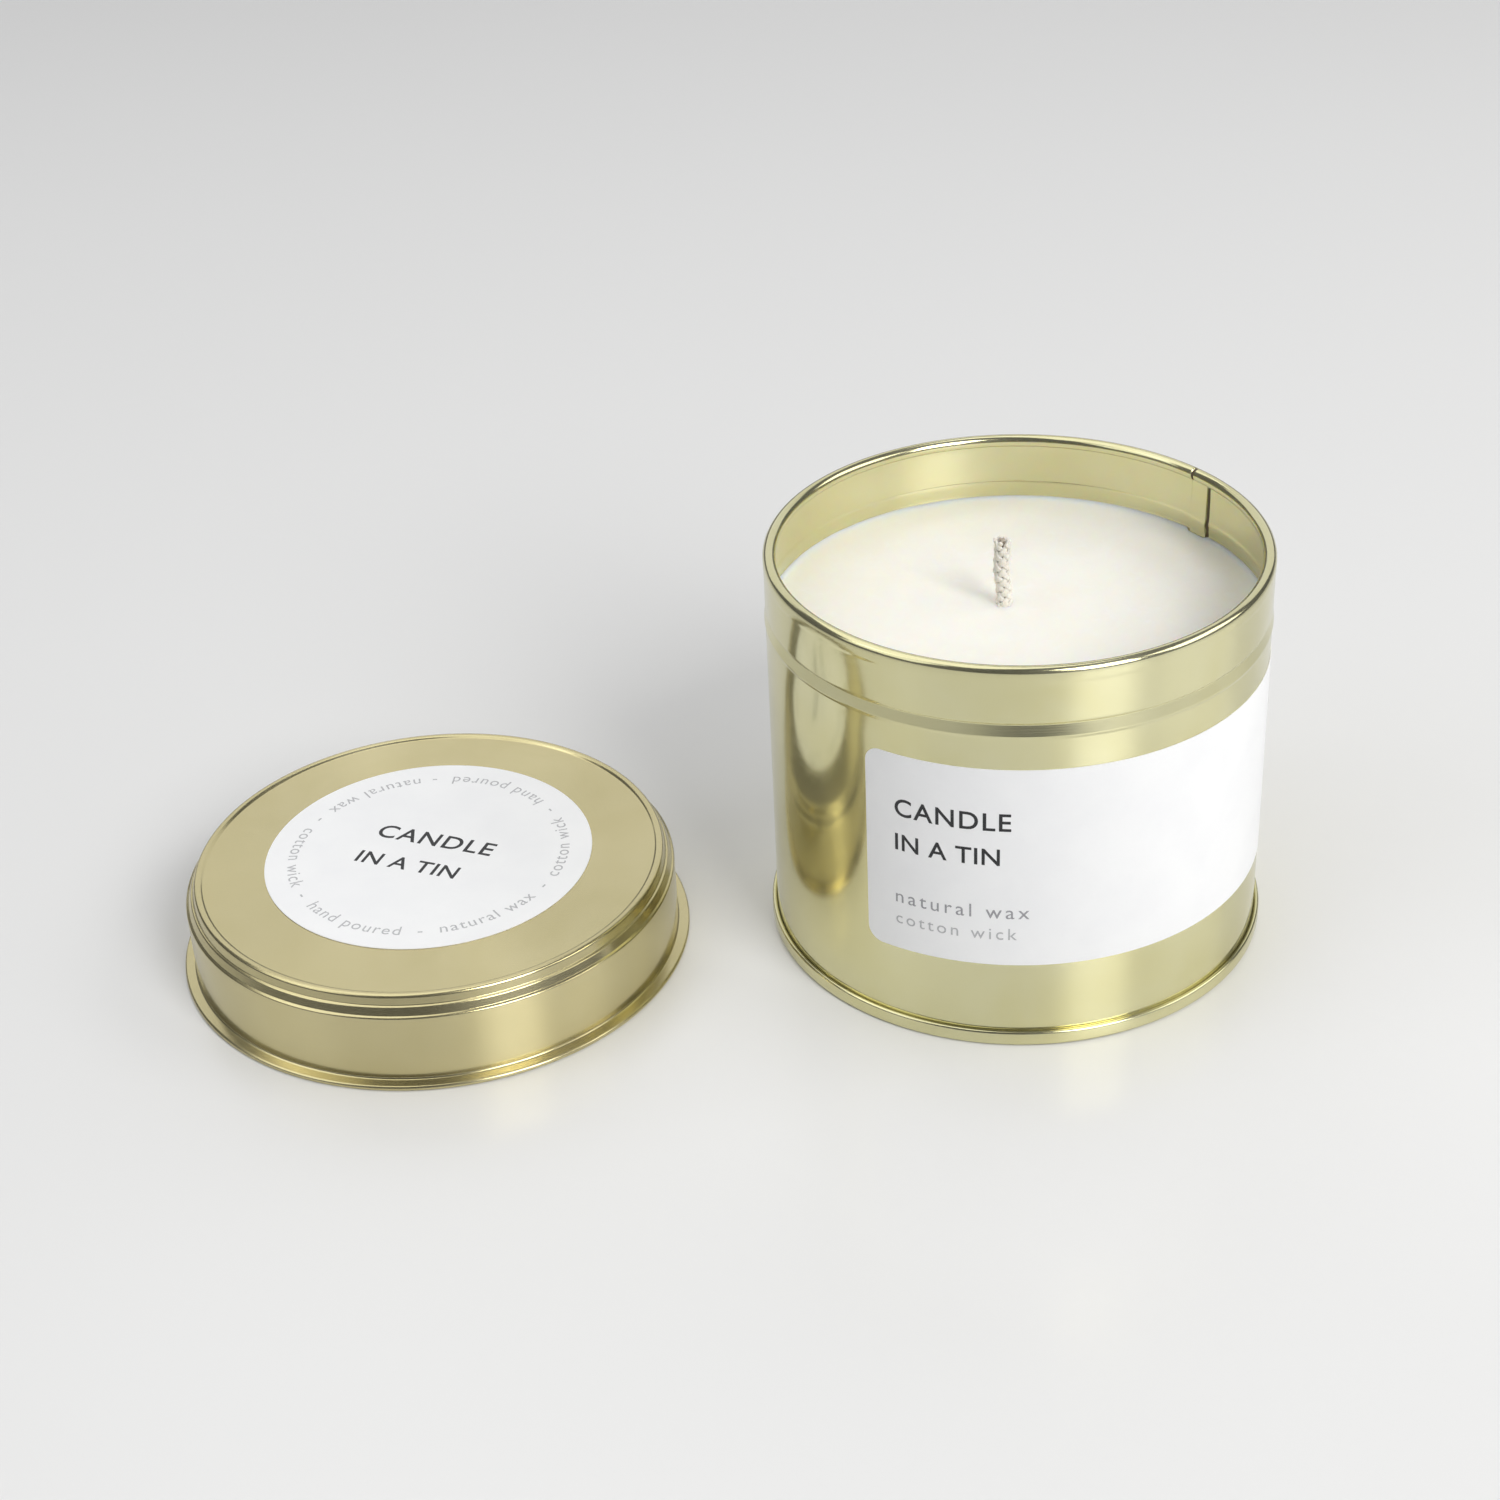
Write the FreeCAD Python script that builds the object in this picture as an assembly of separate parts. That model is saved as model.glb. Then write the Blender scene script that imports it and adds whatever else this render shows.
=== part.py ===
import FreeCAD, Part
import math
import os
from FreeCAD import Vector

# Candle tin with a slip lid, in millimetres.
# The origin is the centre of the tin's base on the surface it stands on, +Z is up and the lid lies
# on the same surface, on the -X side.  Azimuths are in degrees from the front (-Y) towards +X.

# ---- driving dimensions -------------------------------------------------------------------------
sheet = 0.23                # tinplate thickness
seat_gap = 0.02             # what keeps two pieces that touch from sharing a face
body_radius = 38.5          # outside of the tin's wall
tin_height = 65.3           # from the table to the top of the rim

rim_curl = 2.0              # outside diameter of the curled rim
rim_proud = 0.06            # how far the curl stands proud of the wall

bead_bottom = 53.8          # stacking bead around the neck
bead_crest = 54.2
bead_valley = 56.2
bead_top = 56.6
bead_crest_rise = 0.26
bead_valley_depth = 0.33

seam_height = 2.45          # double seam that joins the base to the wall
seam_layer_gap = 0.05
seam_hook_end = 1.15
body_hook_top = 1.85
body_hook_bottom = 0.60
panel_height = 2.90         # upper face of the base panel

lock_start = 122.0          # side seam of the rolled wall, inside
lock_width = 3.6
lock_rise = 0.36
lock_bottom = 3.0
lock_top_below_rim = 2.4
groove_depth = 0.10         # its line on the outside
groove_width = 0.5
curl_joint_azimuth = 125.3  # where the ends of the rolled curl meet
curl_joint_width = 0.35

wax_level = 53.6
meniscus = 0.5

wick_x = -1.8
wick_y = 1.6
wick_radius = 1.45
wick_core_radius = 0.50
wick_top = 65.2
wick_lean = 2.6             # degrees, towards -X, above the wax
wick_bend = 12.0

tab_radius = 6.0            # metal tab that holds the wick's foot
tab_sheet = 0.25
tab_neck_height = 6.0
tab_play = 0.05
sticker_thickness = 0.8

paper = 0.10
label_start = -40.8         # label around the wall
label_width = 88.0
label_bottom = 14.6
label_top = 48.8
label_corner = 2.5

lid_x = -93.9
lid_y = -2.0
lid_height = 15.3
lid_skirt_radius = 39.05
lid_rim_radius = 40.89      # outside of the rolled rim at the foot of the lid's skirt
lid_rim_bend = 0.30
lid_flare_bend = 0.50       # bend that leads the skirt out to its rim
lid_flare_height = 0.88
lid_panel_drop = 0.30       # the panel lies this far below the ridge around it
lid_label_radius = 26.2
lid_label_x = lid_x - 0.2
lid_label_y = lid_y + 0.9

half = sheet / 2
up = Vector(0, 0, 1)
middle = body_radius - half     # middle line of the wall's sheet

# ---- helpers ------------------------------------------------------------------------------------


def left_of(direction):
    return Vector(-direction.z, 0, direction.x)


def side_edges(route, offset):
    """Edges of a bent route moved sideways: corners (r, z, bend radius) become tangent arcs."""
    points = [Vector(r, 0, z) for r, z, bend in route]
    runs = [(b - a).normalize() for a, b in zip(points, points[1:])]
    edges = []
    here = points[0] + left_of(runs[0]) * offset
    for corner, (before, after) in enumerate(zip(runs, runs[1:]), start=1):
        cross = before.x * after.z - before.z * after.x
        turn = 1 if cross > 0 else -1
        bend = route[corner][2]
        reach = bend * math.tan(before.getAngle(after) / 2)
        start = points[corner] - before * reach
        centre = start + left_of(before) * (turn * bend)
        radius = bend - turn * offset
        arc_start = start + left_of(before) * offset
        arc_end = points[corner] + after * reach + left_of(after) * offset
        arc_middle = centre + (points[corner] - centre).normalize() * radius
        if (arc_start - here).Length > 1e-6:
            edges.append(Part.makeLine(here, arc_start))
        edges.append(Part.Arc(arc_start, arc_middle, arc_end).toShape())
        here = arc_end
    end = points[-1] + left_of(runs[-1]) * offset
    edges.append(Part.makeLine(here, end))
    return edges


def bent_section(route, thickness):
    """Flat face of a sheet bent along a route, which is its middle line."""
    left = side_edges(route, thickness / 2)
    right = side_edges(route, -thickness / 2)
    ends = [
        Part.makeLine(left[0].firstVertex(True).Point, right[0].firstVertex(True).Point),
        Part.makeLine(left[-1].lastVertex(True).Point, right[-1].lastVertex(True).Point),
    ]
    wire = Part.Wire(Part.__sortEdges__(left + right + ends))
    return Part.Face(wire)


def turned(face, start=0.0, sweep=360.0, x=0.0, y=0.0):
    """Solid of revolution about the vertical line through (x, y), starting at an azimuth."""
    solid = face.revolve(Vector(0, 0, 0), up, sweep)
    solid.rotate(Vector(0, 0, 0), up, start - 90.0)
    solid.translate(Vector(x, y, 0))
    return solid


def moved_route(route, distance):
    return [(r + distance, z, bend) for r, z, bend in route]


def rectangle(inner, outer, bottom, top):
    """Upright face from one radius to another, for turning about the Z axis."""
    corners = [(inner, bottom), (outer, bottom), (outer, top), (inner, top), (inner, bottom)]
    return Part.Face(Part.makePolygon([Vector(r, 0, z) for r, z in corners]))


def disc(radius, bottom, top, x=0.0, y=0.0):
    return Part.makeCylinder(radius, top - bottom, Vector(x, y, bottom))


def at_azimuth(azimuth, radius, height):
    angle = math.radians(azimuth)
    return Vector(radius * math.sin(angle), -radius * math.cos(angle), height)


def save(shape, name):
    solid = shape.Solids[0] if len(shape.Solids) == 1 else shape
    if not solid.isValid():
        raise ValueError(name + " is not a valid solid")
    solid.exportStep("parts/" + name + ".step")
    print(name, "volume %.1f mm3" % solid.Volume)


# ---- tin ----------------------------------------------------------------------------------------

# radii of the layers of the double seam, from the inside out, each to the middle of its sheet
layer_step = sheet + seam_layer_gap
chuck_wall = middle - layer_step
cover_hook = middle + layer_step
body_hook = middle + 2 * layer_step
cover_wall = middle + 3 * layer_step


def neck_route():
    """Middle line of the wall above the seam: straight wall, bead and neck, to below the curl."""
    return [
        (middle, bead_bottom, 0.5),
        (middle + bead_crest_rise, bead_crest, 0.4),
        (middle - bead_valley_depth, bead_valley, 0.4),
        (middle, bead_top, 0.5),
    ]


def make_body_wall():
    hook_bend = layer_step
    curl_bend = rim_curl / 2 - half
    curl_side = middle + rim_proud
    curl_top = tin_height - half
    curl_far = curl_side - 2 * curl_bend
    curl_low = curl_top - 2 * curl_bend
    wall_start = tin_height - rim_curl - 0.5
    route = [
        (body_hook, body_hook_top, 0),
        (body_hook, body_hook_bottom + half, hook_bend),
        (middle, body_hook_bottom + half, hook_bend),
    ]
    route += neck_route()
    route += [
        (middle, wall_start, 1.0),
        (curl_side, wall_start + 0.4, 1.0),
        (curl_side, curl_top, curl_bend),
        (curl_far, curl_top, curl_bend),
        (curl_far, curl_low, curl_bend),
        (curl_far + curl_bend + 0.15, curl_low, 0),
    ]
    wall = turned(bent_section(route, sheet))

    lock_top = tin_height - lock_top_below_rim
    lock_route = [(middle, lock_bottom, 0)] + neck_route() + [(middle, lock_top, 0)]
    lock_sheet = lock_rise + half
    lock = turned(
        bent_section(moved_route(lock_route, -lock_sheet / 2), lock_sheet),
        lock_start,
        math.degrees(lock_width / body_radius),
    )
    groove = turned(
        bent_section(moved_route(lock_route, half), 2 * groove_depth),
        lock_start,
        math.degrees(groove_width / body_radius),
    )
    joint = Part.makeBox(curl_joint_width, rim_curl, 3 * rim_curl)
    joint.translate(Vector(-curl_joint_width / 2, -middle + half + 0.1, tin_height - 2 * rim_curl))
    joint.rotate(Vector(0, 0, 0), up, curl_joint_azimuth)
    joint_room = disc(body_radius + 1, tin_height - rim_curl - 0.05, tin_height + 1)
    return wall.fuse(lock).cut(groove).cut(joint.common(joint_room))


def make_base_plate():
    route = [
        (0, panel_height - half, 0),
        (chuck_wall, panel_height - half, 0.6),
        (chuck_wall, half, 0.4),
        (cover_wall, half, 0.4),
        (cover_wall, seam_height - half, layer_step),
        (cover_hook, seam_height - half, layer_step),
        (cover_hook, seam_hook_end, 0),
    ]
    return turned(bent_section(route, sheet))


def make_seam_compound():
    inner = middle + 2 * seat_gap
    outer = body_hook - 2 * seat_gap
    bottom = sheet + seat_gap
    top = body_hook_bottom - seat_gap
    ring = disc(outer, bottom, top)
    return ring.cut(disc(inner, bottom, top))


def make_front_label():
    inner = body_radius + seat_gap
    outer = inner + paper
    sweep = math.degrees(label_width / outer)
    label = turned(rectangle(inner, outer, label_bottom, label_top), label_start, sweep)
    for azimuth, inward in ((label_start, 1), (label_start + sweep, -1)):
        for edge, upward in ((label_bottom, 1), (label_top, -1)):
            centre_azimuth = azimuth + inward * math.degrees(label_corner / outer)
            centre = at_azimuth(centre_azimuth, body_radius - 1, edge + upward * label_corner)
            outwards = at_azimuth(centre_azimuth, 1, 0)
            round_corner = Part.makeCylinder(label_corner, 2, centre, outwards)
            block = Part.makeBox(label_corner + 0.5, 2, label_corner + 0.5)
            low_x = -label_corner - 0.5 if inward > 0 else 0
            low_z = edge - 0.5 if upward > 0 else edge - label_corner
            block.translate(Vector(low_x, -body_radius - 1, low_z))
            block.rotate(Vector(0, 0, 0), up, centre_azimuth)
            label = label.cut(block.cut(round_corner))
    return label


# ---- candle -------------------------------------------------------------------------------------

sticker_bottom = panel_height + seat_gap
sticker_top = sticker_bottom + sticker_thickness
tab_bottom = sticker_top + seat_gap
tab_neck = wick_radius + tab_play + tab_sheet / 2
tab_top = tab_bottom + tab_neck_height
wick_bottom = tab_bottom + seat_gap


def make_wick_sticker():
    return disc(tab_radius, sticker_bottom, sticker_top, wick_x, wick_y)


def make_wick_sustainer():
    route = [
        (tab_radius, tab_bottom + tab_sheet / 2, 0),
        (tab_neck, tab_bottom + tab_sheet / 2, 0.4),
        (tab_neck, tab_top, 0),
    ]
    return turned(bent_section(route, tab_sheet), x=wick_x, y=wick_y)


def wick_line():
    """Middle line of the wick: upright in the wax, then leaning towards -X."""
    lean = math.radians(wick_lean)
    start = Vector(wick_x, wick_y, wax_level + 0.1)
    middle_angle = lean / 2
    arc_middle = start + Vector(-(1 - math.cos(middle_angle)), 0, math.sin(middle_angle)) * wick_bend
    arc_end = start + Vector(-(1 - math.cos(lean)), 0, math.sin(lean)) * wick_bend
    rise = wick_top - wick_radius * math.sin(lean) - arc_end.z
    end = arc_end + Vector(-math.tan(lean), 0, 1) * rise
    return Part.Wire([
        Part.makeLine(Vector(wick_x, wick_y, wick_bottom), start),
        Part.Arc(start, arc_middle, arc_end).toShape(),
        Part.makeLine(arc_end, end),
    ])


def wick_tube(radius):
    circle = Part.makeCircle(radius, Vector(wick_x, wick_y, wick_bottom), up)
    return wick_line().makePipeShell([Part.Wire([circle])], True, False)


def make_wick_braid():
    return wick_tube(wick_radius).cut(wick_tube(wick_core_radius + seat_gap))


def make_wax():
    radius = body_radius - sheet - seat_gap
    bottom = panel_height + seat_gap
    level = wax_level
    edge_top = level + meniscus
    curve_start = Vector(radius - 3 * meniscus, 0, level)
    curve_end = Vector(radius, 0, edge_top)
    curve_middle = Vector(radius - meniscus, 0, level + 0.28 * meniscus)
    outline = Part.Wire([
        Part.makeLine(Vector(0, 0, bottom), Vector(radius, 0, bottom)),
        Part.makeLine(Vector(radius, 0, bottom), curve_end),
        Part.Arc(curve_end, curve_middle, curve_start).toShape(),
        Part.makeLine(curve_start, Vector(0, 0, level)),
        Part.makeLine(Vector(0, 0, level), Vector(0, 0, bottom)),
    ])
    wax = turned(Part.Face(outline))
    above = wax_level + 2
    tab_room = tab_bottom + tab_sheet + tab_play
    wax = wax.cut(disc(tab_radius + tab_play, bottom - 1, tab_room, wick_x, wick_y))
    wax = wax.cut(disc(tab_neck + tab_sheet + 2 * tab_play, bottom, tab_top + tab_play, wick_x, wick_y))
    wax = wax.cut(disc(wick_radius + seat_gap, bottom, above, wick_x, wick_y))
    # the side seam stands in from the wall, and the wax is cast around it
    seam_depth = lock_rise + 2 * seat_gap
    width = math.degrees(lock_width / body_radius)
    slot = rectangle(radius - seam_depth, radius + 1, 0, above)
    return wax.cut(turned(slot, lock_start - 0.1, width + 0.2))


# ---- lid ----------------------------------------------------------------------------------------


def make_lid_shell():
    skirt = lid_skirt_radius - half
    crest = lid_height - half
    panel = crest - lid_panel_drop
    rim = lid_rim_radius - half
    rim_top = half + 2 * lid_rim_bend
    rim_back = rim - 2 * lid_rim_bend - 0.02
    route = [
        (0, panel, 0),
        (skirt - 2.85, panel, 0.40),
        (skirt - 2.50, crest, 0.35),
        (skirt - 1.65, crest, 0.45),
        (skirt - 1.30, crest - 1.50, 0.30),
        (skirt - 0.90, crest - 1.62, 0.22),
        (skirt - 0.42, crest - 2.80, 0.25),
        (skirt, crest - 3.00, 0.25),
        (skirt, lid_flare_height, lid_flare_bend),
        (rim, rim_top, lid_rim_bend),
        (rim, half, lid_rim_bend),
        (rim_back, half, lid_rim_bend),
        (rim_back, half + lid_rim_bend + 0.10, 0),
    ]
    return turned(bent_section(route, sheet), x=lid_x, y=lid_y)


def make_lid_label():
    bottom = lid_height - lid_panel_drop + seat_gap
    return disc(lid_label_radius, bottom, bottom + paper, lid_label_x, lid_label_y)


# ---- output -------------------------------------------------------------------------------------

os.makedirs("parts", exist_ok=True)
save(make_body_wall(), "body_wall")
save(make_base_plate(), "base_plate")
save(make_seam_compound(), "base_seam_compound")
save(make_front_label(), "front_label")
save(make_wax(), "wax_fill")
save(make_wick_sticker(), "wick_sticker")
save(make_wick_sustainer(), "wick_sustainer")
save(make_wick_braid(), "wick_braid")
save(wick_tube(wick_core_radius), "wick_core")
save(make_lid_shell(), "lid_shell")
save(make_lid_label(), "lid_label")
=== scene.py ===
import math
import random

import bmesh
import bpy
from mathutils import Matrix, Vector, noise


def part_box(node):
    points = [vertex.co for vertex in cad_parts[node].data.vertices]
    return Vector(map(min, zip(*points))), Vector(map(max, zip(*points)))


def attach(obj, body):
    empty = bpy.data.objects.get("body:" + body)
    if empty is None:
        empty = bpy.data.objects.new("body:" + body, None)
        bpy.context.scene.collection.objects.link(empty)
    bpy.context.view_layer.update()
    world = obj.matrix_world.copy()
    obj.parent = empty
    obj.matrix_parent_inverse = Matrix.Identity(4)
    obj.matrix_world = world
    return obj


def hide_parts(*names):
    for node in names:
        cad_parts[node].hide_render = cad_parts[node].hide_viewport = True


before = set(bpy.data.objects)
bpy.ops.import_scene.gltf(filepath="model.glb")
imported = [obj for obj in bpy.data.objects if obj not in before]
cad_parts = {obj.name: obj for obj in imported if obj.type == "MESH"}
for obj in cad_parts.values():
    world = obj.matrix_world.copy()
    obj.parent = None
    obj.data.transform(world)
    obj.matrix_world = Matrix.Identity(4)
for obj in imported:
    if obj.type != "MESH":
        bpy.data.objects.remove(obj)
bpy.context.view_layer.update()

# Candle tin and its slip lid.  Lengths are in millimetres up to the helpers that make meshes, which
# turn them into metres.  Azimuths are in degrees from the front (-Y) towards +X.
MM = 0.001


def node_box(name):
    """Lowest and highest corner of a CAD node, in millimetres."""
    low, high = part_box(name)
    return low / MM, high / MM


# ---- sizes ---------------------------------------------------------------------------------------

wall_high = node_box("body_wall")[1]
plate_high = node_box("base_plate")[1]
lid_low, lid_high = node_box("lid_shell")
label_low, label_high = node_box("front_label")
round_low, round_high = node_box("lid_label")
wick_low, wick_high = node_box("wick_braid")

# Sheet, paper and fits
SHEET = 0.23                            # thickness of the tinplate
HALF = SHEET / 2
GAP = 0.02                              # between parts that touch
PAPER = 0.10                            # thickness of a label
ARC_STEP = math.radians(11)             # longest step round a bend
ROUND_STEPS = 480                       # steps round the tin and the lid

# Tin
BODY_RADIUS = 38.5
MIDDLE = BODY_RADIUS - HALF             # middle of the wall's sheet
TIN_HEIGHT = wall_high.z
RIM_CURL = 2.0
RIM_PROUD = 0.06                        # how far the rim stands out from the wall
LAYER_STEP = SHEET + 0.05               # from one layer of the base seam to the next
PANEL_HEIGHT = plate_high.z
SEAM_HEIGHT = 2.45

# Bead under the neck: a crest, and a valley above it
BEAD_LOW, BEAD_CREST, BEAD_VALLEY, BEAD_HIGH = 53.8, 54.30, 56.10, 56.6
CREST_RISE = 0.26
VALLEY_DEPTH = 0.33
BEAD_FRONT = -2                         # azimuth at which it is deepest
BEAD_SPREAD = 18                        # degrees over which the extra depth fades
BEAD_LEAST = 0.76                       # share of the depth that it keeps all round
BEAD_INSIDE = 0.5                       # share of the depth that shows inside

# Side seam
LOCK_START = 122.0
LOCK_WIDTH = math.degrees(3.6 / BODY_RADIUS)
LOCK_RISE = 0.36
LOCK_LOW = 2.5
LOCK_HIGH = TIN_HEIGHT - 2.3
LOCK_LINE = 0.37                        # degrees from its start to the first groove outside
FIRST_GROOVE, SECOND_GROOVE = 0.10, 0.05
CREVICE_DEPTH = 0.14                    # beside the strip, inside
CURL_JOINT = 125.3                      # azimuth at which the rim curl's two ends meet
CURL_PINCH = 0.25                       # share by which the curl narrows there

# Candle
WAX_LEVEL = 53.6
WAX_EDGE = BODY_RADIUS - SHEET - GAP
WICK_X = -1.8
WICK_Y = 1.6
WICK_LEAN = math.radians(2.6)

# Lid
LID_X = (lid_low.x + lid_high.x) / 2
LID_Y = (lid_low.y + lid_high.y) / 2
LID_HEIGHT = lid_high.z
LID_SKIRT = 39.05 - HALF
LID_PANEL_DROP = 0.30
LID_FLARE_HEIGHT = 0.88
LID_FLARE_BEND = 0.50
LID_RIM_RADIUS = 40.89
LID_RIM_BEND = 0.30
LID_TURN = math.radians(-22)            # how the round label was turned when it was stuck on

# Labels
LABEL_RADIUS = BODY_RADIUS + GAP
LABEL_START = math.radians(-40.8)       # azimuth of the wall label's left end
LABEL_LENGTH = 88.0
LABEL_CORNER = 2.5
INK = 0.022
INK_SUNK = 0.008                        # how far the ink goes into the paper
BLACK_WEIGHT = 0.011                    # extra outline of the black lines, in the font's units


# ---- mesh helpers --------------------------------------------------------------------------------


def link(name, mesh):
    """A new object in the scene, smooth shaded, with its sharp edges kept."""
    obj = bpy.data.objects.new(name, mesh)
    bpy.context.scene.collection.objects.link(obj)
    for polygon in mesh.polygons:
        polygon.use_smooth = True
    mesh.set_sharp_from_angle(angle=math.radians(35))
    return obj


def turn_outwards(bm):
    """Makes every closed island of faces face outwards, by the sign of the volume that it holds."""
    bmesh.ops.recalc_face_normals(bm, faces=bm.faces[:])
    for face in bm.faces:
        face.tag = False
    for first in bm.faces:
        if first.tag:
            continue
        first.tag = True
        island, queue = [], [first]
        while queue:
            face = queue.pop()
            island.append(face)
            for edge in face.edges:
                for other in edge.link_faces:
                    if not other.tag:
                        other.tag = True
                        queue.append(other)
        centre = first.verts[0].co.copy()
        volume = 0.0
        for face in island:
            corners = [vert.co - centre for vert in face.verts]
            for second, third in zip(corners[1:], corners[2:]):
                volume += corners[0].cross(second).dot(third)
        if volume < 0:
            bmesh.ops.reverse_faces(bm, faces=island)


def finished(name, bm):
    """Turns a bmesh in millimetres into an object in metres."""
    turn_outwards(bm)
    bmesh.ops.scale(bm, vec=(MM, MM, MM), verts=bm.verts[:])
    mesh = bpy.data.meshes.new(name)
    bm.to_mesh(mesh)
    bm.free()
    return link(name, mesh)


def add_piece(obj, body, material, slot, *nodes):
    """Gives a piece its material and body, and hides the CAD nodes that it stands for. The slot is
    not used.
    """
    obj.data.materials.append(material)
    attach(obj, body)
    if nodes:
        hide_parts(*nodes)
    return obj


def side_points(route, offset):
    """Points of a bent route moved sideways: corners (r, z, bend radius) become arcs."""
    points = [Vector((r, z)) for r, z, bend in route]
    runs = [(b - a).normalized() for a, b in zip(points, points[1:])]
    left = [Vector((-run.y, run.x)) for run in runs]
    made = [points[0] + left[0] * offset]
    for corner in range(1, len(points) - 1):
        before, after = runs[corner - 1], runs[corner]
        turn = math.atan2(before.x * after.y - before.y * after.x, before.dot(after))
        side = 1 if turn > 0 else -1
        bend = route[corner][2]
        reach = bend * math.tan(abs(turn) / 2)
        centre = points[corner] - before * reach + left[corner - 1] * (side * bend)
        radius = bend - side * offset
        start = -left[corner - 1] * side
        steps = max(2, math.ceil(abs(turn) / ARC_STEP))
        for step in range(steps + 1):
            angle = turn * step / steps
            spoke = Vector((
                start.x * math.cos(angle) - start.y * math.sin(angle),
                start.x * math.sin(angle) + start.y * math.cos(angle),
            ))
            made.append(centre + spoke * radius)
    made.append(points[-1] + left[-1] * offset)
    return made


def sheet_outline(route):
    """Closed outline of a bent sheet, as (r, z) points, from the left side round to the right."""
    loop = side_points(route, HALF) + side_points(route, -HALF)[::-1]
    kept = []
    for point in loop:
        if not kept or (point - kept[-1]).length > 1e-4:
            kept.append(point)
    return kept


def lathe(outline, azimuths, centre=(0.0, 0.0), warp=None):
    """Turns a closed outline about a vertical line.  warp moves a point (r, z) at an azimuth."""
    bm = bmesh.new()
    rings = []
    for point in outline:
        if point.x < 1e-6:
            rings.append([bm.verts.new((centre[0], centre[1], point.y))])
            continue
        ring = []
        for azimuth in azimuths:
            r, z = warp(point.x, point.y, azimuth) if warp else (point.x, point.y)
            angle = math.radians(azimuth)
            place = (centre[0] + r * math.sin(angle), centre[1] - r * math.cos(angle), z)
            ring.append(bm.verts.new(place))
        rings.append(ring)
    count = len(azimuths)
    for here, there in zip(rings, rings[1:] + rings[:1]):
        if len(here) == 1 and len(there) == 1:
            continue
        for i in range(count):
            j = (i + 1) % count
            corners = [here[i % len(here)], there[i % len(there)]]
            if len(there) > 1:
                corners.append(there[j])
            if len(here) > 1:
                corners.append(here[j])
            bm.faces.new(corners)
    return bm


def even_azimuths(count):
    """Azimuths all the way round, from the front."""
    return [360.0 * i / count for i in range(count)]


def apart(azimuths, least=0.025):
    """Azimuths in order, without those that nearly repeat the one before."""
    kept = []
    for azimuth in sorted(azimuths):
        if not kept or azimuth - kept[-1] > least:
            kept.append(azimuth)
    return kept


def smoothstep(low, high, value):
    """Rises smoothly from 0 at low to 1 at high, which may be the smaller of the two."""
    t = min(max((value - low) / (high - low), 0.0), 1.0)
    return t * t * (3 - 2 * t)


def split_tall(outline, step):
    """Adds points on long upright stretches, so that a warp has something to move."""
    made = []
    for here, there in zip(outline, outline[1:] + outline[:1]):
        made.append(here)
        parts = int((there - here).length / step)
        if parts > 1 and abs(there.y - here.y) > step:
            made += [here.lerp(there, i / parts) for i in range(1, parts)]
    return made


def tube(bm, points, wide, thick, outwards, sides=8):
    """Adds a closed tube along points.  outwards gives the way that its thickness faces."""
    rings = []
    for i, point in enumerate(points):
        ahead = points[min(i + 1, len(points) - 1)] - points[max(i - 1, 0)]
        ahead.normalize()
        out = (outwards[i] - ahead * outwards[i].dot(ahead)).normalized()
        side = ahead.cross(out)
        narrow = 0.75 if i in (0, len(points) - 1) else 1.0
        ring = []
        for k in range(sides):
            angle = 2 * math.pi * k / sides
            reach = side * math.cos(angle) * wide[i] + out * math.sin(angle) * thick[i]
            ring.append(bm.verts.new(point + reach * narrow))
        rings.append(ring)
    for here, there in zip(rings, rings[1:]):
        for k in range(sides):
            m = (k + 1) % sides
            bm.faces.new((here[k], here[m], there[m], there[k]))
    bm.faces.new(rings[0][::-1])
    bm.faces.new(rings[-1])


def slab(bm, thickness, cut_step, place):
    """Makes flat faces in the XY plane into a thin solid, cut into strips, and puts it in place.

    place turns (x, y, height over the surface) into a point beside the CAD, in millimetres."""
    sliver, merge = 0.01, 0.002
    straight = math.radians(0.5)
    bmesh.ops.dissolve_limit(bm, angle_limit=straight, verts=bm.verts[:], edges=bm.edges[:])
    low = min(v.co.x for v in bm.verts)
    high = max(v.co.x for v in bm.verts)
    x = low + cut_step
    while x < high - sliver:
        whole = bm.verts[:] + bm.edges[:] + bm.faces[:]
        bmesh.ops.bisect_plane(bm, geom=whole, dist=2 * merge, plane_co=(x, 0, 0),
                               plane_no=(1, 0, 0))
        x += cut_step
    bmesh.ops.remove_doubles(bm, verts=bm.verts[:], dist=merge)
    bmesh.ops.triangulate(bm, faces=bm.faces[:])
    made = bmesh.ops.extrude_face_region(bm, geom=bm.faces[:])
    raised = [item for item in made["geom"] if isinstance(item, bmesh.types.BMVert)]
    bmesh.ops.translate(bm, vec=(0, 0, thickness), verts=raised)
    for vert in bm.verts:
        vert.co = place(vert.co.x, vert.co.y, vert.co.z)
    return bm


# ---- material helpers ----------------------------------------------------------------------------


def add_node(tree, kind, inputs=None, **settings):
    """Adds a shader node.  Each input is a value, or an output socket to join to it."""
    made = tree.nodes.new("ShaderNode" + kind)
    for key, value in settings.items():
        setattr(made, key, value)
    for key, value in (inputs or {}).items():
        if isinstance(value, bpy.types.NodeSocket):
            tree.links.new(value, made.inputs[key])
        else:
            made.inputs[key].default_value = value
    return made


def new_tree(name):
    material = bpy.data.materials.new(name)
    material.use_nodes = True
    tree = material.node_tree
    tree.nodes.clear()
    return material, tree


def object_place(tree, stretch=(1, 1, 1)):
    """Coordinates fixed to the piece, in metres, stretched along each axis."""
    coordinates = add_node(tree, "TexCoord").outputs["Object"]
    return add_node(tree, "Mapping", {"Vector": coordinates, "Scale": stretch}).outputs["Vector"]


def noise_of(tree, place, scale, detail=3.0, roughness=0.5, distortion=0.0):
    settings = {"Vector": place, "Scale": scale, "Detail": detail, "Roughness": roughness,
                "Distortion": distortion}
    return add_node(tree, "TexNoise", settings).outputs["Fac"]


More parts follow.
